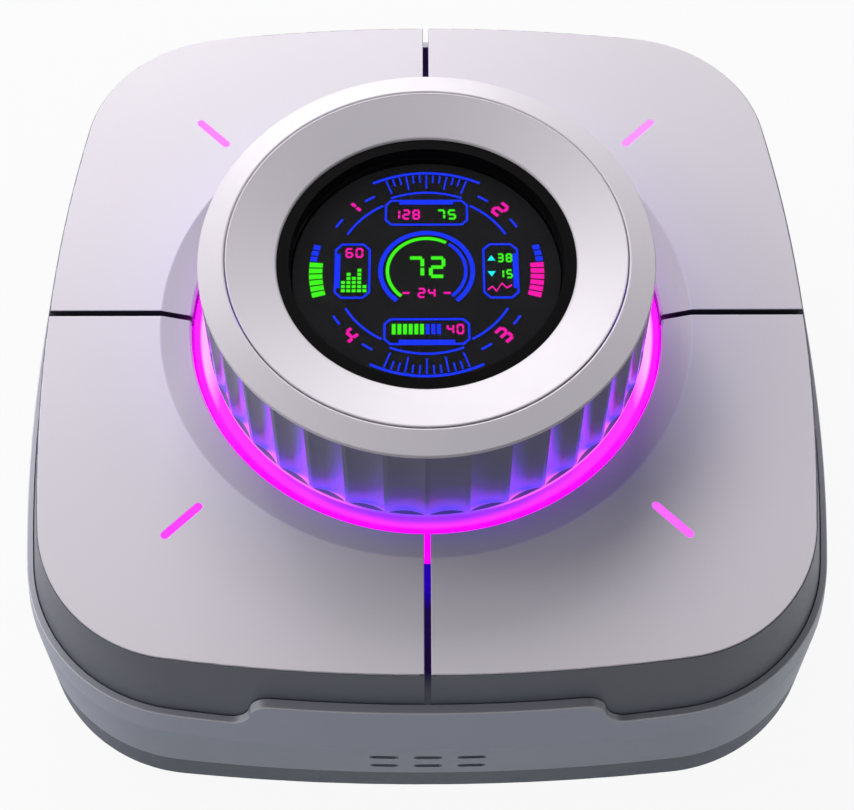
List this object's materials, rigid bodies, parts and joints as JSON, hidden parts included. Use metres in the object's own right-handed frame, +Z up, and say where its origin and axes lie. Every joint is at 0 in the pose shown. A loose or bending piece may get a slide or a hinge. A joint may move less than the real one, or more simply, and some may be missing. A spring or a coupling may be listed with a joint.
{
  "type": "studio controller",
  "caption": "Square desk controller with large keys set around a tall fluted dial that carries a round screen, with a lit ring at the dial's foot.",
  "frame": {"origin": "on the table, under the centre of the case", "axes": "+Z up along the dial's axis, -Y towards the user, +X to the user's right"},
  "size_m": [0.1088, 0.1088, 0.0477],
  "materials": {
    "key_silver": "satin silver lacquer",
    "key_grey": "fine moulded grain",
    "case_grey": "satin moulded grey",
    "cover_grey": "satin moulded dark grey",
    "foot_rubber": "matt",
    "dial_silver": "satin blasted",
    "grip_grey": "satin",
    "black_plastic": "matt black",
    "cover_glass": "clear gloss",
    "screen": "lit display",
    "light_pink": "translucent, lit",
    "circuit_board": "solder mask",
    "chip_black": "moulded",
    "lamp_white": "moulded",
    "steel": "plain",
    "magnet": "plain"
  },
  "bodies": {
    "base": {"bottom_cover": "cover_grey", "lower_case": "case_grey", "rubber_feet": "foot_rubber", "cover_screws": "steel", "main_board": "circuit_board", "board_screws": "steel", "board_chips": "chip_black", "key_switches": "chip_black", "dial_switch": "chip_black", "bar_lamps": "lamp_white", "usb_socket": "steel", "usb_tongue": "black_plastic", "deck": "black_plastic", "deck_screws": "steel", "lamp_board": "circuit_board", "ring_lamps": "lamp_white", "dial_sensor": "chip_black", "light_ring": "light_pink", "dial_spring": "steel", "key_spring_front_left": "steel", "key_spring_front_right": "steel", "key_spring_back_left": "steel", "key_spring_back_right": "steel"},
    "key_front_left": {"key_plate_front_left": "key_silver", "key_carrier_front_left": "key_grey", "light_bar_front_left": "light_pink", "stem_screws_front_left": "steel"},
    "key_front_right": {"key_plate_front_right": "key_silver", "key_carrier_front_right": "key_grey", "light_bar_front_right": "light_pink", "stem_screws_front_right": "steel"},
    "key_back_left": {"key_plate_back_left": "key_silver", "key_carrier_back_left": "key_grey", "light_bar_back_left": "light_pink", "stem_screws_back_left": "steel"},
    "key_back_right": {"key_plate_back_right": "key_silver", "key_carrier_back_right": "key_grey", "light_bar_back_right": "light_pink", "stem_screws_back_right": "steel"},
    "dial_carriage": {"dial_post": "black_plastic", "post_retainer": "steel", "bearing_inner_race": "steel", "race_clip": "steel", "display_cup": "black_plastic", "display_board": "circuit_board", "display_panel": "screen", "cover_glass": "cover_glass", "screen_bezel": "dial_silver"},
    "bearing_cage": {"bearing_cage": "steel", "bearing_balls": "steel"},
    "dial": {"dial_grip": "grip_grey", "dial_cap": "dial_silver", "dial_hub": "black_plastic", "hub_screws": "steel", "magnet_ring": "magnet", "bearing_outer_race": "steel"}
  },
  "joints": [
    {"name": "key_press_front_left", "type": "slide", "parent": "base", "child": "key_front_left", "axis": [0, 0, -1], "range_m": [0, 0.001], "stiffness_N_per_m": 500, "springref_m": -0.0015, "deforming": ["key_spring_front_left"]},
    {"name": "key_press_front_right", "type": "slide", "parent": "base", "child": "key_front_right", "axis": [0, 0, -1], "range_m": [0, 0.001], "stiffness_N_per_m": 500, "springref_m": -0.0015, "deforming": ["key_spring_front_right"]},
    {"name": "key_press_back_left", "type": "slide", "parent": "base", "child": "key_back_left", "axis": [0, 0, -1], "range_m": [0, 0.001], "stiffness_N_per_m": 500, "springref_m": -0.0015, "deforming": ["key_spring_back_left"]},
    {"name": "key_press_back_right", "type": "slide", "parent": "base", "child": "key_back_right", "axis": [0, 0, -1], "range_m": [0, 0.001], "stiffness_N_per_m": 500, "springref_m": -0.0015, "deforming": ["key_spring_back_right"]},
    {"name": "dial_press", "type": "slide", "parent": "base", "child": "dial_carriage", "axis": [0, 0, -1], "range_m": [0, 0.0006], "stiffness_N_per_m": 2500, "springref_m": -0.0012, "deforming": ["dial_spring"]},
    {"name": "dial_spin", "type": "hinge", "parent": "dial_carriage", "child": "dial", "pos_m": [0, 0, 0.0287], "axis": [0, 0, 1], "continuous": true},
    {"name": "cage_spin", "type": "hinge", "parent": "dial_carriage", "child": "bearing_cage", "pos_m": [0, 0, 0.0287], "axis": [0, 0, 1], "continuous": true}
  ],
  "couplings": [
    {"joint": "cage_spin", "follows": "dial_spin", "ratio": 0.5303}
  ]
}
